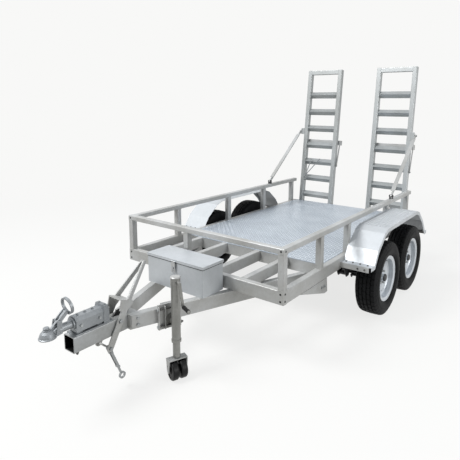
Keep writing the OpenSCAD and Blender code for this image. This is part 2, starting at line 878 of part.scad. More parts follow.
function strut_head() = [
    hinge_y + strut_up * sin(ramp_lean) + (stile_front + 3) * cos(ramp_lean),
    hinge_z + strut_up * cos(ramp_lean) - (stile_front + 3) * sin(ramp_lean)];

module ramp_strut() {
    color(galvanised)
        difference() {
            link(strut_x - 5, strut_x + 5, strut_head(), strut_foot, 30);
            rod_x(strut_x - 10, strut_x + 10, strut_head()[0], strut_head()[1], 7 + fit_gap);
        }
}

// Lugs and pins on the rear beam that carry the ramp stiles, and lugs on the rails for the struts
module ramp_hinges() {
    color(dark_steel)
        both_sides() {
            for (x = [-15, 10])
                difference() {
                    side_shape(strut_x + x, strut_x + x + 5, [for (p = [[-22, -29], [22, -29], [12, 14], [-12, 14]])
                        p + strut_foot]);
                    rod_x(strut_x - 20, strut_x + 20, strut_foot[0], strut_foot[1], 6);
                }
            for (x = [ramp_in, ramp_in + ramp_w - stile_w]) {
                for (ear = [x - 12, x + stile_w + 2])
                    side_shape(ear, ear + 10,
                        [[bed_l, hinge_z - 45], [bed_l, hinge_z + 14], [hinge_y + 16, hinge_z + 14], [hinge_y + 16, hinge_z - 16]]);
                rod_x(x - 6, x + stile_w + 6, hinge_y, hinge_z, hinge_pin_r);
            }
        }
}

module place_wheel(side, i) {
    translate([side * wheel_x, axle_y[i], tyre_r])
        mirror([side < 0 ? 1 : 0, 0, 0])
            children();
}

placed() {
    side_beams();
    front_beam();
    rear_beam();
    cross_members();
    front_joists();
    deck_plate();
    rail_posts();
    top_rails();
    drawbar_rails();
    drawbar_pole();
    toolbox();
    toolbox_lid();
    toolbox_latch();
    mudguards();
    mudguard_stays();
    side_bracket();
    axles();
    leaf_springs();
    spring_hangers();
    place_wheel(-1, 0) tyre();  // tyre_front_left
    place_wheel(1, 0) tyre();  // tyre_front_right
    place_wheel(-1, 1) tyre();  // tyre_rear_left
    place_wheel(1, 1) tyre();  // tyre_rear_right
    place_wheel(-1, 0) rim();  // rim_front_left
    place_wheel(1, 0) rim();  // rim_front_right
    place_wheel(-1, 1) rim();  // rim_rear_left
    place_wheel(1, 1) rim();  // rim_rear_right
    coupling_housing();
    coupling_head();
    coupling_handle();
    brake_lever();
    brake_bracket();
    brake_rod_end();
    jockey_clamp();
    jockey_leg();
    jockey_inner_tube();
    jockey_crank();
    jockey_fork();
    jockey_wheels();
    mirror([1, 0, 0]) ramp();  // ramp_left
    ramp();  // ramp_right
    mirror([1, 0, 0]) ramp_stand();  // ramp_stand_left
    ramp_stand();  // ramp_stand_right
    mirror([1, 0, 0]) ramp_strut();  // ramp_strut_left
    ramp_strut();  // ramp_strut_right
    ramp_hinges();
}
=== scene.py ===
import json
import math

import bmesh
import bpy
import numpy as np
from mathutils import Matrix, Vector


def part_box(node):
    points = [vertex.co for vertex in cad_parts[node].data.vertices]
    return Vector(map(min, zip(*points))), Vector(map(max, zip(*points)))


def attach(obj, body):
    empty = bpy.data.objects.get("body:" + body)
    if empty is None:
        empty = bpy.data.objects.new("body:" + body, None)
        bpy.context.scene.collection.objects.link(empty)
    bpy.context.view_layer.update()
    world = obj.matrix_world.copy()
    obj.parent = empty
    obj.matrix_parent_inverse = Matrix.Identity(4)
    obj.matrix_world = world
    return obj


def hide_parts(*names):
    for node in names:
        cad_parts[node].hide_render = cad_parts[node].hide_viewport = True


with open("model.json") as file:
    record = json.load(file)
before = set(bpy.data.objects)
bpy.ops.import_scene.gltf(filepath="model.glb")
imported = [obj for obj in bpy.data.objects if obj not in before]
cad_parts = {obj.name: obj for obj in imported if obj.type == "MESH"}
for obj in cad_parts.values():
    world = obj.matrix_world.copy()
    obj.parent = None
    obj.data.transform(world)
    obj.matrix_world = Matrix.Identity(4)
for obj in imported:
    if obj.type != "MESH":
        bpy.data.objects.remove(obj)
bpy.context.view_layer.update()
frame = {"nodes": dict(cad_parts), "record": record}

MM = 0.001
BOTH = (-1, 1)
# The frame's Y zero, in millimetres behind the front face of the bed
MID_Y = 885.809
BED_HALF = 795
POST = 50
# Under side of the drawbar
POLE_LOW = 380
AXLE_Y = (1304, 1976)
WHEEL_X = 974.5
WHEEL_Z = 328
# Each ramp's hinge line as Y and Z, and how far the standing ramp leans back
HINGE = (2785, 560)
LEAN = math.radians(6.1)
# The drawbar rails' angle from the centre line
SPREAD = math.radians(21.8)


def spot(x, y, z):
    """A point measured in millimetres from the bed's front face, the centre line and the ground."""
    return Vector((x * MM, (y - MID_Y) * MM, z * MM))


WHEELS = [(f"{end}_{label}", side, spot(side * WHEEL_X, axle, WHEEL_Z))
          for end, axle in zip(("front", "rear"), AXLE_Y) for side, label in zip(BOTH, ("left", "right"))]
RAMPS = ((-1, "left"), (1, "right"))


def hex_colour(text):
    """sRGB hex to the linear colour that Blender's sockets take."""
    parts = [int(text[i:i + 2], 16) / 255 for i in (1, 3, 5)]
    return tuple(p / 12.92 if p <= 0.04045 else ((p + 0.055) / 1.055) ** 2.4 for p in parts) + (1.0,)


def put(tree, kind, sockets=None, **settings):
    """Adds one node with its settings, and sets or links its inputs."""
    made = tree.nodes.new(kind)
    for key, value in settings.items():
        setattr(made, key, value)
    for key, value in (sockets or {}).items():
        if isinstance(value, bpy.types.NodeSocket):
            tree.links.new(value, made.inputs[key])
        else:
            made.inputs[key].default_value = value
    return made


# ---- camera, floor and light ----

def make_camera():
    yaw, pitch, roll = 0.609, -0.151, 0.011
    away = Vector((-math.sin(yaw) * math.cos(pitch), math.cos(yaw) * math.cos(pitch), math.sin(pitch)))
    level = Vector((math.cos(yaw), math.sin(yaw), 0))
    lift = level.cross(away)
    right = math.cos(roll) * level + math.sin(roll) * lift
    up = math.cos(roll) * lift - math.sin(roll) * level
    data = bpy.data.cameras.new("camera")
    data.sensor_width = 36
    data.lens = 34.96
    data.shift_x = -0.0746
    data.shift_y = -0.1164
    data.clip_end = 200
    camera = bpy.data.objects.new("camera", data)
    turn = Matrix((right, up, -away)).transposed().to_4x4()
    camera.matrix_world = Matrix.Translation(spot(2311.7, -2413.1, 1798.3)) @ turn
    bpy.context.scene.collection.objects.link(camera)
    bpy.context.scene.camera = camera


def new_material(name):
    material = bpy.data.materials.new(name)
    material.use_nodes = True
    material.node_tree.nodes.clear()
    return material, material.node_tree


def seen_directly(tree):
    """1 for the rays that show a background: those of the camera, of reflections and through glass."""
    path = put(tree, "ShaderNodeLightPath")
    first = put(tree, "ShaderNodeMath", {0: path.outputs["Is Camera Ray"], 1: path.outputs["Is Glossy Ray"]},
                operation="MAXIMUM")
    return put(tree, "ShaderNodeMath", {0: first.outputs[0], 1: path.outputs["Is Transmission Ray"]},
               operation="MAXIMUM").outputs[0]


def make_stage():
    pale = hex_colour("#F8F8F7")
    bpy.context.scene.view_settings.view_transform = "Standard"
    material, tree = new_material("studio_floor_paint")
    where = put(tree, "ShaderNodeTexCoord")
    reach = put(tree, "ShaderNodeVectorMath", {0: where.outputs["Object"]}, operation="LENGTH")
    # The floor runs into the backdrop a few metres away, and keeps the shadow near the object
    near = put(tree, "ShaderNodeMapRange", {0: reach.outputs["Value"], 1: 2.5, 2: 7.0, 3: 0.17, 4: 0.0})
    paint = put(tree, "ShaderNodeBsdfDiffuse", {"Color": hex_colour("#E9E8E5")})
    glow = put(tree, "ShaderNodeEmission", {"Color": pale, "Strength": 1.0})
    shown = put(tree, "ShaderNodeMixShader", {0: near.outputs[0], 1: glow.outputs[0], 2: paint.outputs[0]})
    bounce = put(tree, "ShaderNodeBsdfDiffuse", {"Color": hex_colour("#97938B")})
    floor_paint = put(tree, "ShaderNodeMixShader", {0: seen_directly(tree), 1: bounce.outputs[0],
                                                    2: shown.outputs[0]})
    put(tree, "ShaderNodeOutputMaterial", {"Surface": floor_paint.outputs[0]})
    mesh = bpy.data.meshes.new("studio_floor")
    half = 60
    corners = [(-half, -half, 0), (half, -half, 0), (half, half, 0), (-half, half, 0)]
    mesh.from_pydata(corners, [], [(0, 1, 2, 3)])
    mesh.materials.append(material)
    floor = bpy.data.objects.new("studio_floor", mesh)
    bpy.context.scene.collection.objects.link(floor)

    world = bpy.data.worlds.new("studio")
    world.use_nodes = True
    tree = world.node_tree
    tree.nodes.clear()
    # Overcast light: bright and slightly blue overhead, darker and warmer towards the ground
    where = put(tree, "ShaderNodeTexCoord")
    split = put(tree, "ShaderNodeSeparateXYZ", {0: where.outputs["Generated"]})
    ramp = put(tree, "ShaderNodeValToRGB", {0: split.outputs["Z"]})
    stops = [(0.0, "#6C6A66"), (0.34, "#74777A"), (0.62, "#C0CBD8"), (1.0, "#FFFFFF")]
    for place, colour in stops[1:-1]:
        ramp.color_ramp.elements.new(place)
    for element, (place, colour) in zip(ramp.color_ramp.elements, stops):
        element.position = place
        element.color = hex_colour(colour)
    room = put(tree, "ShaderNodeBackground", {0: ramp.outputs[0], 1: 1.0})
    backdrop = put(tree, "ShaderNodeBackground", {0: pale, 1: 1.0})
    mixed = put(tree, "ShaderNodeMixShader", {0: seen_directly(tree), 1: room.outputs[0],
                                              2: backdrop.outputs[0]})
    put(tree, "ShaderNodeOutputWorld", {0: mixed.outputs[0]})
    bpy.context.scene.world = world
    aim = Vector((0, 0, 0.5))
    for name, at, size, power in (("key_lamp", (-3.0, -4.6, 7.6), 3.2, 780),
                                  ("side_lamp", (7.5, 0.5, 2.4), 3.0, 230)):
        lamp = bpy.data.lights.new(name, "AREA")
        lamp.size = size
        lamp.energy = power
        holder = bpy.data.objects.new(name, lamp)
        holder.location = at
        holder.rotation_euler = (aim - Vector(at)).to_track_quat("-Z", "Y").to_euler()
        bpy.context.scene.collection.objects.link(holder)


# ---- finishes ----

def zinc(name, light, dark, spangle_mm, rough, metallic, streak=(1, 1, 1), grime=0.3, wave=0.0, shaded_bore=None):
    """Galvanised steel: slow clouds of tone, faint zinc crystals and dull spots of white rust.

    The last argument gives the middle height and half width, in metres, of a tube along Y whose inside is
    painted near black as painted shade for the deep bore.
    """
    material, tree = new_material(name)
    where = put(tree, "ShaderNodeTexCoord").outputs["Object"]
    stretched = put(tree, "ShaderNodeMapping", {"Vector": where, "Scale": streak}).outputs[0]
    crystals = put(tree, "ShaderNodeTexVoronoi", {"Vector": where, "Scale": 1000 / spangle_mm})
    clouds = put(tree, "ShaderNodeTexNoise", {"Vector": stretched, "Scale": 3.2, "Detail": 4.0,
                                              "Roughness": 0.55})
    fine = put(tree, "ShaderNodeTexNoise", {"Vector": where, "Scale": 300.0, "Detail": 2.0})
    spangle = put(tree, "ShaderNodeRGBToBW", {0: crystals.outputs["Color"]})
    tone = put(tree, "ShaderNodeMath", {0: spangle.outputs[0], 1: 0.12, 2: clouds.outputs["Fac"]},
               operation="MULTIPLY_ADD")
    ramp = put(tree, "ShaderNodeValToRGB", {0: tone.outputs[0]})
    for element, place, colour in zip(ramp.color_ramp.elements, (0.38, 0.86), (dark, light)):
        element.position = place
        element.color = hex_colour(colour)
    spots = put(tree, "ShaderNodeTexNoise", {"Vector": where, "Scale": 26.0, "Detail": 5.0,
                                             "Roughness": 0.7})
    marks = put(tree, "ShaderNodeMapRange", {0: spots.outputs["Fac"], 1: 0.64, 2: 0.76, 3: 0.0, 4: grime})
    wear_and_bore_shade = put(tree, "ShaderNodeMix", {0: marks.outputs[0], "A": ramp.outputs[0],
                                       "B": hex_colour("#8C8A84")}, data_type="RGBA")
    # Painted shade: inside the bore the colour goes near black, where little light reaches
    if shaded_bore:
        place = put(tree, "ShaderNodeSeparateXYZ", {0: where})
        side = put(tree, "ShaderNodeMath", {0: place.outputs["X"]}, operation="ABSOLUTE")
        height = put(tree, "ShaderNodeMath", {0: place.outputs["Z"], 1: shaded_bore[0]}, operation="SUBTRACT")
        away = put(tree, "ShaderNodeMath", {0: height.outputs[0]}, operation="ABSOLUTE")
        most = put(tree, "ShaderNodeMath", {0: side.outputs[0], 1: away.outputs[0]}, operation="MAXIMUM")
        in_shaded_bore = put(tree, "ShaderNodeMath", {0: most.outputs[0], 1: shaded_bore[1]}, operation="LESS_THAN")
        wear_and_bore_shade = put(tree, "ShaderNodeMix", {0: in_shaded_bore.outputs[0], "A": wear_and_bore_shade.outputs["Result"],
                                           "B": hex_colour("#171717")}, data_type="RGBA")
    gloss = put(tree, "ShaderNodeMapRange", {0: tone.outputs[0], 1: 0.35, 2: 0.9, 3: rough + 0.07,
                                             4: rough - 0.05})
    dull = put(tree, "ShaderNodeMath", {0: marks.outputs[0], 1: 0.5, 2: gloss.outputs[0]},
               operation="MULTIPLY_ADD")
    bump = put(tree, "ShaderNodeBump", {"Height": fine.outputs["Fac"], "Strength": 0.1, "Distance": 0.0004})
    if wave:
        swell = put(tree, "ShaderNodeTexNoise", {"Vector": where, "Scale": 4.0, "Detail": 1.0})
        bump = put(tree, "ShaderNodeBump", {"Height": swell.outputs["Fac"], "Strength": wave,
                                            "Distance": 0.03, "Normal": bump.outputs[0]})
    metal = put(tree, "ShaderNodeBsdfPrincipled", {"Base Color": wear_and_bore_shade.outputs["Result"], "Metallic": metallic,
                                                    "Roughness": dull.outputs[0], "Normal": bump.outputs[0]})
    put(tree, "ShaderNodeOutputMaterial", {0: metal.outputs[0]})
    return material


def coated(name, light, dark, rough, metallic=0.0, grain_mm=2.0, bumpy=0.15, shine=0.5):
    """Paint, rubber or moulded plastic with a fine grain and a slow change of tone."""
    material, tree = new_material(name)
    where = put(tree, "ShaderNodeTexCoord").outputs["Object"]
    clouds = put(tree, "ShaderNodeTexNoise", {"Vector": where, "Scale": 9.0, "Detail": 8.0,
                                              "Roughness": 0.65})
    grain = put(tree, "ShaderNodeTexNoise", {"Vector": where, "Scale": 1000 / grain_mm, "Detail": 2.0})
    ramp = put(tree, "ShaderNodeValToRGB", {0: clouds.outputs["Fac"]})
    for element, place, colour in zip(ramp.color_ramp.elements, (0.35, 0.7), (dark, light)):
        element.position = place
        element.color = hex_colour(colour)
    gloss = put(tree, "ShaderNodeMapRange", {0: clouds.outputs["Fac"], 1: 0.3, 2: 0.7, 3: rough - 0.06,
                                             4: rough + 0.08})
    bump = put(tree, "ShaderNodeBump", {"Height": grain.outputs["Fac"], "Strength": bumpy,
                                        "Distance": 0.0005})
    skin = put(tree, "ShaderNodeBsdfPrincipled", {"Base Color": ramp.outputs[0], "Metallic": metallic,
                                                   "Specular IOR Level": shine,
                                                   "Roughness": gloss.outputs[0], "Normal": bump.outputs[0]})
    put(tree, "ShaderNodeOutputMaterial", {0: skin.outputs[0]})
    return material


make_camera()
make_stage()

tube_zinc = zinc("galvanised_tube", "#BFC1C2", "#A2A29F", 14, 0.34, 0.3, grime=0.15)
# The pole's finish has painted shade: its bore is coloured near black
pole_zinc = zinc("galvanised_pole", "#B5B8BA", "#919290", 14, 0.34, 0.3, grime=0.15,
                 shaded_bore=(0.43, 0.0445))
sheet_zinc = zinc("galvanised_sheet", "#C6CACE", "#B4B8BB", 22, 0.42, 0.32, wave=0.02, grime=0.0)
deck_zinc = zinc("galvanised_tread_plate", "#A8B1BA", "#939CA6", 16, 0.3, 0.4, grime=0.15)
# The raised bars take a lighter copy of the plate's zinc: painted sheen on the bars' tops
tread_sheen_zinc = zinc("tread_bars_painted_sheen", "#D9DFE5", "#C9D0D7", 16, 0.3, 0.4, grime=0.0)
ramp_zinc = zinc("galvanised_ramp_steel", "#B8BCBE", "#9A9D9C", 12, 0.33, 0.4, streak=(1, 1, 0.3),
                 grime=0.2)
cast_zinc = zinc("zinc_plated_casting", "#A0A4A7", "#777B7E", 9, 0.45, 0.5, grime=0.3)
leg_zinc = zinc("zinc_plated_tube", "#A3A3A0", "#82827E", 9, 0.26, 0.45, grime=0.2)
bolt_zinc = zinc("zinc_plated_fastener", "#B4B7B8", "#8F9293", 5, 0.28, 0.7)
old_bolt = zinc("weathered_fastener", "#6E6E6C", "#3F3F3E", 5, 0.42, 0.6, grime=0.5)
black_steel = coated("black_painted_steel", "#232427", "#121315", 0.5)
rubber = coated("tyre_rubber", "#0E0F11", "#070809", 0.6, grain_mm=1.2, bumpy=0.3, shine=0.14)
rim_silver = coated("silver_rim_paint", "#D3D8DD", "#C3C8CD", 0.3, metallic=0.3)
nylon = coated("black_moulded_nylon", "#0C0D0E", "#060708", 0.42, shine=0.25)

# A CAD node takes its own finish if it has one, and otherwise that of its material slot
FINISH = {"galvanised": tube_zinc, "dark_steel": black_steel, "rim_paint": rim_silver, "tyre": rubber,
          "cast": cast_zinc, "nylon": nylon, "zinc_plate": bolt_zinc}
SPECIAL = {"toolbox": sheet_zinc, "toolbox_lid": sheet_zinc, "mudguards": sheet_zinc,
           "deck_plate": deck_zinc, "ramp_left": ramp_zinc, "ramp_right": ramp_zinc,
           "drawbar_pole": pole_zinc, "jockey_leg": leg_zinc, "jockey_inner_tube": leg_zinc,
           "jockey_crank": leg_zinc}
for part in frame["record"]["subparts"]:
    node = frame["nodes"][part["node"]]
    node.data.materials.clear()
    node.data.materials.append(SPECIAL.get(part["node"], FINISH[part["material_slot"]]))


# ---- making pieces ----

def finish_piece(name, mesh, material, body):
    mesh.materials.clear()
    mesh.materials.append(material)
    piece = bpy.data.objects.new(name, mesh)
    bpy.context.scene.collection.objects.link(piece)
    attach(piece, body)
    return piece


def group(name, sizes):
    """A Geometry Nodes tree with a geometry in and out and named sizes."""
    tree = bpy.data.node_groups.new(name, "GeometryNodeTree")
    tree.interface.new_socket("Geometry", in_out="OUTPUT", socket_type="NodeSocketGeometry")
    tree.interface.new_socket("Geometry", in_out="INPUT", socket_type="NodeSocketGeometry")
    for label, kind in sizes:
        tree.interface.new_socket(label, in_out="INPUT", socket_type=kind)
    return tree, put(tree, "NodeGroupInput").outputs


def grow(name, tree, base, values, material, body):
    """Runs a tree on a mesh, keeps the result as a plain mesh and makes a finished piece of it."""
    carrier = bpy.data.objects.new(name + "_base", base)
    bpy.context.scene.collection.objects.link(carrier)
    modifier = carrier.modifiers.new("grow", "NODES")
    modifier.node_group = tree
    for item in tree.interface.items_tree:
        if item.in_out == "INPUT" and item.name in values:
            modifier[item.identifier] = values[item.name]
    bpy.context.view_layer.update()
    ready = carrier.evaluated_get(bpy.context.evaluated_depsgraph_get())
    mesh = bpy.data.meshes.new_from_object(ready)
    mesh.name = name
    carrier.modifiers.clear()
    bpy.data.objects.remove(carrier)
    return finish_piece(name, mesh, material, body)


def scatter_tree():
    """Sets one small piece on every point, turned by the point's own angles."""
    tree, given = group("set_on_points", [("Piece", "NodeSocketObject"), ("Finish", "NodeSocketMaterial")])
    shape = put(tree, "GeometryNodeObjectInfo", {"Object": given["Piece"]})
    turn = put(tree, "GeometryNodeInputNamedAttribute", {"Name": "turn"}, data_type="FLOAT_VECTOR")
    size = put(tree, "GeometryNodeInputNamedAttribute", {"Name": "size"}, data_type="FLOAT")
    points = put(tree, "GeometryNodeMeshToPoints", {"Mesh": given["Geometry"]})
    copies = put(tree, "GeometryNodeInstanceOnPoints", {
        "Points": points.outputs[0], "Instance": shape.outputs["Geometry"], "Rotation": turn.outputs[0],
        "Scale": size.outputs[0]})
    real = put(tree, "GeometryNodeRealizeInstances", {0: copies.outputs[0]})
    painted = put(tree, "GeometryNodeSetMaterial", {"Geometry": real.outputs[0], "Material": given["Finish"]})
    put(tree, "NodeGroupOutput", {0: painted.outputs[0]})
    return tree


def bead_tree():
    """A row of overlapping drops along an edge, as a weld is laid."""
    tree, given = group("weld_bead", [("Radius", "NodeSocketFloat"), ("Step", "NodeSocketFloat"),
                                      ("Finish", "NodeSocketMaterial")])
    line = put(tree, "GeometryNodeMeshToCurve", {0: given["Geometry"]})
    points = put(tree, "GeometryNodeCurveToPoints", {"Curve": line.outputs[0], "Length": given["Step"]},
                 mode="LENGTH")
    drop = put(tree, "GeometryNodeMeshIcoSphere", {"Radius": given["Radius"], "Subdivisions": 1})
    wobble = put(tree, "FunctionNodeRandomValue", {"Min": (0.85, 0.85, 0.85), "Max": (1.15, 1.15, 1.15),
                                                   "Seed": 3}, data_type="FLOAT_VECTOR")
    copies = put(tree, "GeometryNodeInstanceOnPoints", {
        "Points": points.outputs["Points"], "Instance": drop.outputs[0],
        "Rotation": points.outputs["Rotation"], "Scale": wobble.outputs[0]})
    real = put(tree, "GeometryNodeRealizeInstances", {0: copies.outputs[0]})
    painted = put(tree, "GeometryNodeSetMaterial", {"Geometry": real.outputs[0], "Material": given["Finish"]})
    put(tree, "NodeGroupOutput", {0: painted.outputs[0]})
    return tree


def tread_tree():
    """Raised bars on a steel plate, each turned a quarter from its neighbours."""
    tree, given = group("tread_plate_bars", [
        ("Width", "NodeSocketFloat"), ("Length", "NodeSocketFloat"), ("Pitch", "NodeSocketFloat"),
        ("Piece", "NodeSocketObject"), ("Finish", "NodeSocketMaterial")])
    across = put(tree, "ShaderNodeMath", {0: given["Width"], 1: given["Pitch"]}, operation="DIVIDE")
    along = put(tree, "ShaderNodeMath", {0: given["Length"], 1: given["Pitch"]}, operation="DIVIDE")
    grid = put(tree, "GeometryNodeMeshGrid", {"Size X": given["Width"], "Size Y": given["Length"],
                                              "Vertices X": across.outputs[0],
                                              "Vertices Y": along.outputs[0]})
    points = put(tree, "GeometryNodeMeshToPoints", {0: grid.outputs[0]})
    index = put(tree, "GeometryNodeInputIndex")
    rows = put(tree, "ShaderNodeMath", {0: along.outputs[0]}, operation="FLOOR")
    row = put(tree, "ShaderNodeMath", {0: index.outputs[0], 1: rows.outputs[0]}, operation="DIVIDE")
    column = put(tree, "ShaderNodeMath", {0: row.outputs[0]}, operation="FLOOR")
    total = put(tree, "ShaderNodeMath", {0: index.outputs[0], 1: column.outputs[0]}, operation="ADD")
    # Rows of an even count need the column added for the bars to alternate both ways
    odd = put(tree, "ShaderNodeMath", {0: total.outputs[0], 1: 2.0}, operation="MODULO")
    angle = put(tree, "ShaderNodeMath", {0: odd.outputs[0], 1: math.pi / 2, 2: math.pi / 4},
                operation="MULTIPLY_ADD")
    turn = put(tree, "ShaderNodeCombineXYZ", {"Z": angle.outputs[0]})
    shape = put(tree, "GeometryNodeObjectInfo", {"Object": given["Piece"]})
    copies = put(tree, "GeometryNodeInstanceOnPoints", {
        "Points": points.outputs[0], "Instance": shape.outputs["Geometry"], "Rotation": turn.outputs[0]})
    real = put(tree, "GeometryNodeRealizeInstances", {0: copies.outputs[0]})
    painted = put(tree, "GeometryNodeSetMaterial", {"Geometry": real.outputs[0], "Material": given["Finish"]})
    put(tree, "NodeGroupOutput", {0: painted.outputs[0]})
    return tree


scatter = scatter_tree()
bead = bead_tree()
tread = tread_tree()
keepers = []


def hidden(name, mesh):
    """A shape that trees copy; it is taken out of the scene before the end."""
    keeper = bpy.data.objects.new(name, mesh)
    bpy.context.scene.collection.objects.link(keeper)
    keepers.append(keeper)
    return keeper


def lathe(name, profile, sides):
    """A closed turned shape about Z from points of radius and height, in millimetres."""
    bm = bmesh.new()
    rings = []
    turns = [2 * math.pi * k / sides for k in range(sides)]
    for radius, height in profile:
        if radius == 0:
            rings.append([bm.verts.new((0, 0, height * MM))])
        else:
            rings.append([bm.verts.new((radius * MM * math.cos(a), radius * MM * math.sin(a), height * MM))
                          for a in turns])
    for low, high in zip(rings, rings[1:]):
        for k in range(sides):
            j = (k + 1) % sides
            corners = [low[k % len(low)], low[j % len(low)], high[j % len(high)], high[k % len(high)]]
            unique = list(dict.fromkeys(corners))
            if len(unique) > 2:
                bm.faces.new(unique)
    bmesh.ops.remove_doubles(bm, verts=bm.verts, dist=1e-6)
    bmesh.ops.recalc_face_normals(bm, faces=bm.faces)
    mesh = bpy.data.meshes.new(name)
    bm.to_mesh(mesh)
    bm.free()
    return mesh


def join_meshes(name, meshes):
    bm = bmesh.new()
    for mesh in meshes:
        bm.from_mesh(mesh)
    out = bpy.data.meshes.new(name)
    bm.to_mesh(out)
    bm.free()
    return out


def washer_mesh(name, radius):
    return lathe(name + "_washer", [(0, -1), (radius, -1), (radius, 2), (0, 2)], 20)


def bolt_mesh(name, flats, head, washer):
    """A hex head with a chamfered top on a round washer, its seat at Z 0."""
    r, top = flats / math.sqrt(3), 2 + head
    plate = washer_mesh(name, washer)
    hexagon = lathe(name + "_head", [(0, 1.5), (r, 1.5), (r, 1.5 + head * 0.85), (r * 0.86, top), (0, top)], 6)
    return join_meshes(name, [plate, hexagon])


def nut_mesh(name, flats, thick, washer, stud, stick_out):
    """A nut on a washer with the bolt's end coming through it."""
    r, top, tip = flats / math.sqrt(3), 1.5 + thick, thick + stick_out
    plate = washer_mesh(name, washer)
    hexagon = lathe(name + "_nut", [(0, 1.5), (r * 0.9, 1.5), (r, 3), (r, thick), (r * 0.88, top), (0, top)], 6)
    end = lathe(name + "_end", [(0, thick), (stud, thick), (stud, tip - 1.5), (stud - 1.5, tip), (0, tip)], 12)
    return join_meshes(name, [plate, hexagon, end])


def rod(name, radius, length):
    """A plain round rod up from Z 0, kept as a shape to copy."""
    return hidden(name, lathe(name, [(0, 0), (radius, 0), (radius, length), (0, length)], 12))


def facing(direction):
    """The turn that points a shape's Z along a direction."""
    return Vector((0, 0, 1)).rotation_difference(Vector(direction).normalized()).to_euler()


def set_on(name, shape, spots, material, body):
    """Copies a shape onto spots, each a place in metres, a direction and, if not 1, a size."""
    base = bpy.data.meshes.new(name + "_points")
    base.from_pydata([s[0] for s in spots], [], [])
    base.attributes.new("turn", "FLOAT_VECTOR", "POINT")
    base.attributes.new("size", "FLOAT", "POINT")
    turn, size = base.attributes["turn"], base.attributes["size"]
    for i, s in enumerate(spots):
        turn.data[i].vector = tuple(facing(s[1]))
        size.data[i].value = s[2] if len(s) > 2 else 1.0
    return grow(name, scatter, base, {"Piece": shape, "Finish": material}, material, body)


def weld(name, lines, radius, body):
    """Weld beads along lines of points in metres; a closed line repeats its first point."""
    points, edges = [], []
    for line in lines:
        first = len(points)
        points += [tuple(p) for p in line]
        edges += [(first + k, first + k + 1) for k in range(len(line) - 1)]
    base = bpy.data.meshes.new(name + "_lines")
    base.from_pydata(points, edges, [])
    sizes = {"Radius": radius * MM, "Step": radius * 1.1 * MM, "Finish": tube_zinc}
    return grow(name, bead, base, sizes, tube_zinc, body)


def ramp_point(x, y, z):
    """A point of a standing ramp, from its hinge: Y out of its back, Z up its stiles."""
    return spot(x, HINGE[0] + y * math.cos(LEAN) + z * math.sin(LEAN),
                HINGE[1] - y * math.sin(LEAN) + z * math.cos(LEAN))


def rail_point(out, along, z):
    """A point by the right drawbar rail: out of its face and along it."""
    return spot(79 + out * math.cos(SPREAD) + along * math.sin(SPREAD),
                -690 - out * math.sin(SPREAD) + along * math.cos(SPREAD), z)


RAIL_OUT = Vector((math.cos(SPREAD), -math.sin(SPREAD), 0))
RAIL_ALONG = Vector((math.sin(SPREAD), math.cos(SPREAD), 0))

m12 = hidden("bolt_m12", bolt_mesh("bolt_m12", 18, 8, 12))
m10 = hidden("bolt_m10", bolt_mesh("bolt_m10", 16, 6.5, 10))
m12_nut = hidden("nut_m12", nut_mesh("nut_m12", 18, 10, 12, 6, 9))
m8 = hidden("bolt_m8", bolt_mesh("bolt_m8", 13, 5.5, 8.5))


# ---- deck ----

def tread_bar():
    """One raised bar of the plate: a low ridge with sloping ends."""
    half, wide, high = 15 * MM, 4.4 * MM, 2.2 * MM
    low = [(-half, 0, 0), (-half * 0.6, -wide, 0), (half * 0.6, -wide, 0), (half, 0, 0),
           (half * 0.6, wide, 0), (-half * 0.6, wide, 0)]
    ridge = [(x * 0.72, y * 0.55, high) for x, y, z in low]
    faces = [(k, (k + 1) % 6, 6 + (k + 1) % 6, 6 + k) for k in range(6)] + [tuple(range(6, 12))]
    mesh = bpy.data.meshes.new("tread_bar")
    mesh.from_pydata(low + ridge, [], faces)
    return mesh


def make_deck():
    low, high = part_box("deck_plate")
    pitch = 0.028
    margin = 0.02
    count_x = int((high.x - low.x - margin) / pitch)
    count_y = int((high.y - low.y - margin) / pitch)
    count_y -= count_y % 2
    base = bpy.data.meshes.new("tread_seed")
    base.from_pydata([(0, 0, 0)], [], [])
    sizes = {"Width": (count_x + 0.01) * pitch, "Length": (count_y + 0.01) * pitch, "Pitch": pitch,
             "Piece": hidden("tread_bar", tread_bar()), "Finish": tread_sheen_zinc}
    bars = grow("tread_bars", tread, base, sizes, tread_sheen_zinc, "chassis")
    bars.data.transform(Matrix.Translation(((low.x + high.x) / 2, (low.y + high.y) / 2, high.z - 0.0002)))


make_deck()


# ---- tyres ----

TREAD_SIDES = 240
# What is cut into a point of the section around the tyre
PLAIN, SHOULDER, EDGE_BLOCK, RIB, CENTRE_RIB = range(5)
TYRE_HALF = [
    # Half of the section from the bead out to the middle: across, radius and what is cut there
    (71, 178, PLAIN), (71, 196, PLAIN), (79, 202, PLAIN), (85, 206, PLAIN), (93.5, 215, PLAIN),
    (96.5, 220, PLAIN), (96.5, 224, PLAIN), (100, 228, PLAIN), (101.2, 236, PLAIN), (102.3, 248, PLAIN),
    (102.4, 262, PLAIN), (101, 272, PLAIN), (99, 273, PLAIN), (97.5, 282, PLAIN), (95.5, 292, PLAIN),
    (92.5, 299, SHOULDER), (89, 306, SHOULDER), (86, 313, SHOULDER), (82.5, 319, SHOULDER),
    (80, 321.5, EDGE_BLOCK), (70, 324.5, EDGE_BLOCK), (56, 326, EDGE_BLOCK),
    (55, 325.8, PLAIN), (54, 317, PLAIN), (48, 317, PLAIN), (47, 326.3, PLAIN),
    (45, 326.5, RIB), (24, 327.3, RIB),
    (22, 327.4, PLAIN), (21, 318, PLAIN), (14, 318, PLAIN), (13, 327.8, PLAIN),
    (11, 327.9, CENTRE_RIB), (0, 328, CENTRE_RIB)]
# Inside of the carcass, so that the tyre stays hollow
CARCASS = [(52, 178), (58, 190), (71, 206), (91, 262), (81, 292), (62, 308), (0, 312), (-62, 308),
           (-81, 292), (-91, 262), (-71, 206), (-58, 190), (-52, 178)]


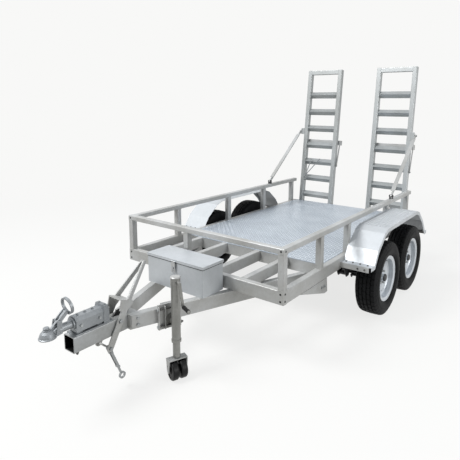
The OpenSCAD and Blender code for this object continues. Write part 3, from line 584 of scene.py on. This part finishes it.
def tyre_mesh(name):
    full = [(-x, r, k) for x, r, k in TYRE_HALF] + [(x, r, k) for x, r, k in TYRE_HALF[-2::-1]]
    steps = np.arange(TREAD_SIDES)
    angle = 2 * np.pi * steps / TREAD_SIDES
    rows = []
    for x, r, kind in full:
        radius = np.full(TREAD_SIDES, float(r))
        turned = (steps + (3 if x > 0 else 0)) % 6
        if kind == SHOULDER:
            radius -= np.where(turned >= 4, 3.5, 0)
        elif kind == EDGE_BLOCK:
            radius -= np.where(turned == 5, 6.0, 0)
        elif kind == RIB:
            radius -= np.where((steps + (2 if x > 0 else 0)) % 6 == 2, 5.0, 0)
        elif kind == CENTRE_RIB:
            radius -= np.where(steps % 8 == 4, 5.0, 0)
        across = np.full(TREAD_SIDES, float(x))
        rows.append(np.stack([across, radius * np.cos(angle), radius * np.sin(angle)], 1))
    for x, r in CARCASS:
        rows.append(np.stack([np.full(TREAD_SIDES, float(x)), r * np.cos(angle), r * np.sin(angle)], 1))
    points = np.concatenate(rows) * MM
    count = len(rows)
    faces = []
    for i in range(count):
        for j in range(TREAD_SIDES):
            a, b = i * TREAD_SIDES + j, i * TREAD_SIDES + (j + 1) % TREAD_SIDES
            c, d = ((i + 1) % count) * TREAD_SIDES + (j + 1) % TREAD_SIDES, ((i + 1) % count) * TREAD_SIDES + j
            faces.append((a, b, c, d))
    mesh = bpy.data.meshes.new(name)
    mesh.from_pydata([tuple(p) for p in points], [], faces)
    bm = bmesh.new()
    bm.from_mesh(mesh)
    bmesh.ops.recalc_face_normals(bm, faces=bm.faces)
    bm.to_mesh(mesh)
    bm.free()
    return mesh


wheel_nut = hidden("wheel_nut", lathe("wheel_nut", [(0, 0), (13, 0), (13, 2), (10.5, 4), (10.5, 17),
                                                    (8, 20), (0, 20.5)], 6))
valve = hidden("valve", lathe("valve", [(0, 0), (5, 0), (5, 8), (3.5, 12), (3.5, 30), (4.5, 31),
                                        (4.5, 40), (0, 41)], 10))
NUT_CIRCLE = 0.057

for wheel, side, centre in WHEELS:
    body = f"wheel_{wheel}"
    mesh = tyre_mesh(f"tyre_tread_{wheel}")
    mesh.transform(Matrix.Translation(centre))
    tyre = finish_piece(f"tyre_tread_{wheel}", mesh, rubber, body)
    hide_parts(f"tyre_{wheel}")
    nuts = [(centre + Vector((side * 0.030, NUT_CIRCLE * math.cos(a), NUT_CIRCLE * math.sin(a))), (side, 0, 0))
            for a in [2 * math.pi * k / 5 for k in range(5)]]
    set_on(f"wheel_nuts_{wheel}", wheel_nut, nuts, bolt_zinc, body)
    set_on(f"valve_{wheel}", valve, [(centre + Vector((side * 0.03, 0, 0.152)), (side, 0, 0.25))], nylon,
           body)


# ---- bolts ----

guard_bolts = [(spot(s * x, y, z), (0, 0, 1)) for s in BOTH for y, z in ((918, 545), (2432, 515))
               for x in (830, 890, 955, 1020)]
guard_bolts += [(spot(s * x, y, z), (0, d, 0)) for s in BOTH for y, z, d in ((877, 519, -1), (2463, 489, 1))
                for x in (950, 1010)]
set_on("mudguard_bolts", m8, guard_bolts, old_bolt, "chassis")
base_bolts = [(spot(s * 27, -811, 488), (0, 0, 1)) for s in BOTH]
base_bolts += [(spot(s * 44, y, 534), (s, 0, 0)) for s in BOTH for y in (-1012, -888)]
base_bolts += [(spot(s * 27, -842, 598), (0, 0, 1), 0.8) for s in BOTH]
base_bolts += [(spot(0, y, 592), (0, 0, 1), 0.7) for y in (-1010, -960, -910)]
set_on("coupling_bolts", m10, base_bolts, bolt_zinc, "chassis")
under = [(spot(x, y, POLE_LOW), (0, 0, -1)) for x, y in ((-33, -1040), (33, -1040), (5, -878), (0, -700))]
set_on("coupling_nuts", m12_nut, under, old_bolt, "chassis")
set_on("lever_bolts", m12, [(spot(s * 65, -755, 462), (s, 0, 0), 1.2) for s in BOTH]
       + [(spot(s * 65, -836, 314), (s, 0, 0)) for s in BOTH], bolt_zinc, "brake_arm")


def mirrored(place):
    return Vector((-place.x, place.y, place.z))


# Heights of the jockey clamp's two bolts
CLAMP_Z = (360, 478)
# Pins of each ramp stay, as Y and Z
STAY_FOOT, STAY_HEAD = (2130, 905), (2863.5, 1502)
frame_bolts = [(rail_point(5, 46, z), RAIL_OUT) for z in (408, 452)]
frame_bolts += [(mirrored(p), (-d.x, d.y, 0)) for p, d in frame_bolts]
frame_bolts += [(rail_point(20, 176, z), -RAIL_ALONG) for z in CLAMP_Z]
frame_bolts += [(spot(BED_HALF, y, 425), (1, 0, 0)) for y in (560, 600)]
set_on("frame_bolts", m12, frame_bolts, bolt_zinc, "chassis")
clamp_nuts = [(rail_point(20, 330, z), RAIL_ALONG) for z in CLAMP_Z]
set_on("clamp_nuts", m12_nut, clamp_nuts, old_bolt, "chassis")
clamp_rods = [(rail_point(20, 180, z), RAIL_ALONG) for z in CLAMP_Z]
set_on("clamp_rods", rod("clamp_rod", 6, 146), clamp_rods, old_bolt, "chassis")
axle_nuts = [(spot(s * x, y + way, z), (0, 0, d)) for s in BOTH for y in AXLE_Y for x in (733, 807)
             for way in (-34, 34) for z, d in ((391, 1), (295, -1))]
set_on("axle_clamp_nuts", m12_nut, axle_nuts, old_bolt, "chassis")
hinge_bolts = [(spot(s * x, *HINGE), (s * d, 0, 0)) for s in BOTH
               for x, d in ((223, -1), (297, 1), (655, -1), (729, 1))]
hinge_bolts += [(spot(s * x, *STAY_FOOT), (s * d, 0, 0), 0.9) for s in BOTH for x, d in ((755, -1), (785, 1))]
set_on("hinge_bolts", m12, hinge_bolts, old_bolt, "chassis")
for side, label in RAMPS:
    ramp_bolts = [(ramp_point(side * 776, -22, 945), (side, 0, 0))]
    ramp_bolts += [(ramp_point(side * x, 28, 515), (side * d, 0, 0), 0.85) for x, d in ((226, -1), (726, 1))]
    set_on(f"ramp_bolts_{label}", m12, ramp_bolts, bolt_zinc, f"loading_ramp_{label}")


# ---- small fittings ----

# Brake drums behind the discs
drum = hidden("brake_drum", lathe("brake_drum", [(0, -66), (146, -66), (149, -62), (149, 6), (143, 13),
                                                 (130, 16), (112, 12), (60, 8), (0, 8)], 64))
for wheel, side, centre in WHEELS:
    set_on(f"brake_drum_{wheel}", drum, [(centre, (side, 0, 0))], black_steel, f"wheel_{wheel}")

# Black discs just under the hand holes of the discs: painted shade for the depth of the holes
hole_shade_disc = hidden("hand_hole_backing", lathe("hand_hole_backing", [(0, -3), (10.5, -3), (10.5, 0), (0, 0)], 16))
for wheel, side, centre in WHEELS:
    holes = []
    for k in range(12):
        angle = math.radians(15 + 30 * k)
        out = Vector((0, math.cos(angle), math.sin(angle)))
        holes.append((centre + Vector((side * 0.026, 0, 0)) + out * 0.140,
                      out * 0.686 + Vector((side * 0.727, 0, 0))))
    set_on(f"hand_hole_backing_{wheel}", hole_shade_disc, holes, nylon, f"wheel_{wheel}")

# Sleeve on the crank's grip
sleeve = hidden("grip_sleeve", lathe("grip_sleeve", [(0, 11), (13.4, 12), (13.9, 16), (12.9, 34), (12.2, 58),
                                                     (13.9, 84), (13, 93), (0, 93)], 24))
set_on("grip_sleeve", sleeve, [(rail_point(154, 294, 527), RAIL_OUT)], nylon, "jockey_handle")
# Split pin through the toolbox staple
pin = hidden("staple_pin", lathe("staple_pin", [(0, -6.5), (4, -6.5), (5, 0), (4, 6.5), (0, 6.5)], 12))
set_on("staple_pin", pin, [(spot(0, -242, 647), (1, 0, 0))], black_steel, "chassis")

# Dark hub caps and the jockey leg's cap, and black discs on the frame's drain holes: painted shade for the dark
# of the open holes
hub_cap = hidden("hub_cap", lathe("hub_cap", [(0, 54), (34, 54), (34, 60), (27, 68), (0, 69)], 32))
for wheel, side, centre in WHEELS:
    set_on(f"hub_cap_{wheel}", hub_cap, [(centre, (side, 0, 0))], black_steel, f"wheel_{wheel}")
leg_cap = hidden("leg_cap", lathe("leg_cap", [(0, 0), (34, 0), (34, 5), (30, 9), (0, 9)], 32))
set_on("jockey_cap", leg_cap, [(rail_point(80, 274, 704), (0, 0, 1))], tube_zinc, "jockey_mast")
# Painted shade: a black disc over each drain hole stands in for the dark inside the hole
shade_dot_disc = hidden("drain_plug", lathe("drain_plug", [(0, -1), (7.5, -1), (7.5, 1), (6, 2), (0, 2)], 16))
DRAIN_HOLE_Z = (504, 556, 856)
shade_dots = [(spot(s * 771, 0, z), (0, -1, 0)) for s in BOTH for z in DRAIN_HOLE_Z]
shade_dots += [(spot(s * BED_HALF, 24, z), (s, 0, 0)) for s in BOTH for z in DRAIN_HOLE_Z]
set_on("drain_plugs", shade_dot_disc, shade_dots, nylon, "chassis")


def plate_between(name, blocks, material, body):
    """Plain blocks in one piece, each between a low and a high corner in millimetres."""
    bm = bmesh.new()
    for low, high in blocks:
        made = bmesh.ops.create_cube(bm, size=1.0)
        a, b = spot(*low), spot(*high)
        for vert in made["verts"]:
            vert.co = Vector([(a[i] + b[i]) / 2 + vert.co[i] * (b[i] - a[i]) for i in range(3)])
    mesh = bpy.data.meshes.new(name)
    bm.to_mesh(mesh)
    bm.free()
    return finish_piece(name, mesh, material, body)


def bar_between(name, start, end, x0, x1, up, material, body):
    """A flat bar in a plane across X: from one point to another, between two X, its thickness along up."""
    bm = bmesh.new()
    along = Vector((0, end[0] - start[0], end[1] - start[1])).normalized()
    out = Vector((0, -along.z, along.y))
    corners = []
    for place in (start, end):
        for x, h in ((x0, up[0]), (x1, up[0]), (x1, up[1]), (x0, up[1])):
            corners.append(bm.verts.new(spot(x, place[0], place[1]) + out * h * MM))
    for ring in ((0, 1, 2, 3), (4, 5, 6, 7)):
        bm.faces.new([corners[k] for k in ring])
    for k in range(4):
        bm.faces.new([corners[k], corners[(k + 1) % 4], corners[4 + (k + 1) % 4], corners[4 + k]])
    bmesh.ops.recalc_face_normals(bm, faces=bm.faces)
    mesh = bpy.data.meshes.new(name)
    bm.to_mesh(mesh)
    bm.free()
    return finish_piece(name, mesh, material, body)


# Broad flanges of the ramp stays, short of both pins
STAY_X, FLANGE_HALF = 770, 21
foot, head = Vector(STAY_FOOT), Vector(STAY_HEAD)
along = (head - foot).normalized()
low, high = foot + along * 62, head - along * 75
for side, label in RAMPS:
    bar_between(f"stay_flange_{label}", low, high, side * STAY_X - FLANGE_HALF, side * STAY_X + FLANGE_HALF,
                (11, 16), tube_zinc, f"stay_{label}")

# Pull rods with their ring on the left ramp
knob = spot(-644, 2787, 917)
for k, tip in enumerate((spot(-442, 2812, 1149), spot(-565, 2812, 1140))):
    shape = rod(f"pull_rod_{k}", 6, (tip - knob).length / MM)
    set_on(f"pull_rod_{k}", shape, [(knob, tip - knob)], bolt_zinc, "loading_ramp_left")
ring_section = [(24 + 4 * math.cos(2 * math.pi * k / 8), 4 * math.sin(2 * math.pi * k / 8)) for k in range(9)]
pull_ring = hidden("pull_ring", lathe("pull_ring", ring_section, 28))
set_on("pull_ring", pull_ring, [(knob - Vector((0, 0, 0.02)), (0.2, -1, 0.1))], bolt_zinc,
       "loading_ramp_left")

# Black strip under the toolbox lid: partly a rubber seal, partly painted shade for the dark line under the
# lid's skirt
plate_between("lid_seal", [((-282.5, -232.5, 683), (282.5, -230, 688.5)),
                           ((-282.5, -230, 683), (-280, -30, 688.5)),
                           ((280, -230, 683), (282.5, -30, 688.5))], nylon, "chassis")


# ---- welds ----

def ring_round(x, y, z):
    """A closed line round a post whose low corner is at X and Y, a millimetre inside its faces."""
    a, b = 1, POST - 1
    return [spot(x + i, y + j, z) for i, j in ((a, a), (b, a), (b, b), (a, b), (a, a))]


LEFT_POSTS, RIGHT_POSTS = -BED_HALF, BED_HALF - POST
posts = [(x, 0) for x in (LEFT_POSTS, -140, RIGHT_POSTS)]
posts += [(LEFT_POSTS, y) for y in (530, 1290, 1960, 2610)]
posts += [(RIGHT_POSTS, y) for y in (530, 1025, 1960, 2610)]
weld("post_welds", [ring_round(x, y, z) for x, y in posts for z in (581, 835)], 3, "chassis")

for keeper in keepers:
    bpy.data.objects.remove(keeper)
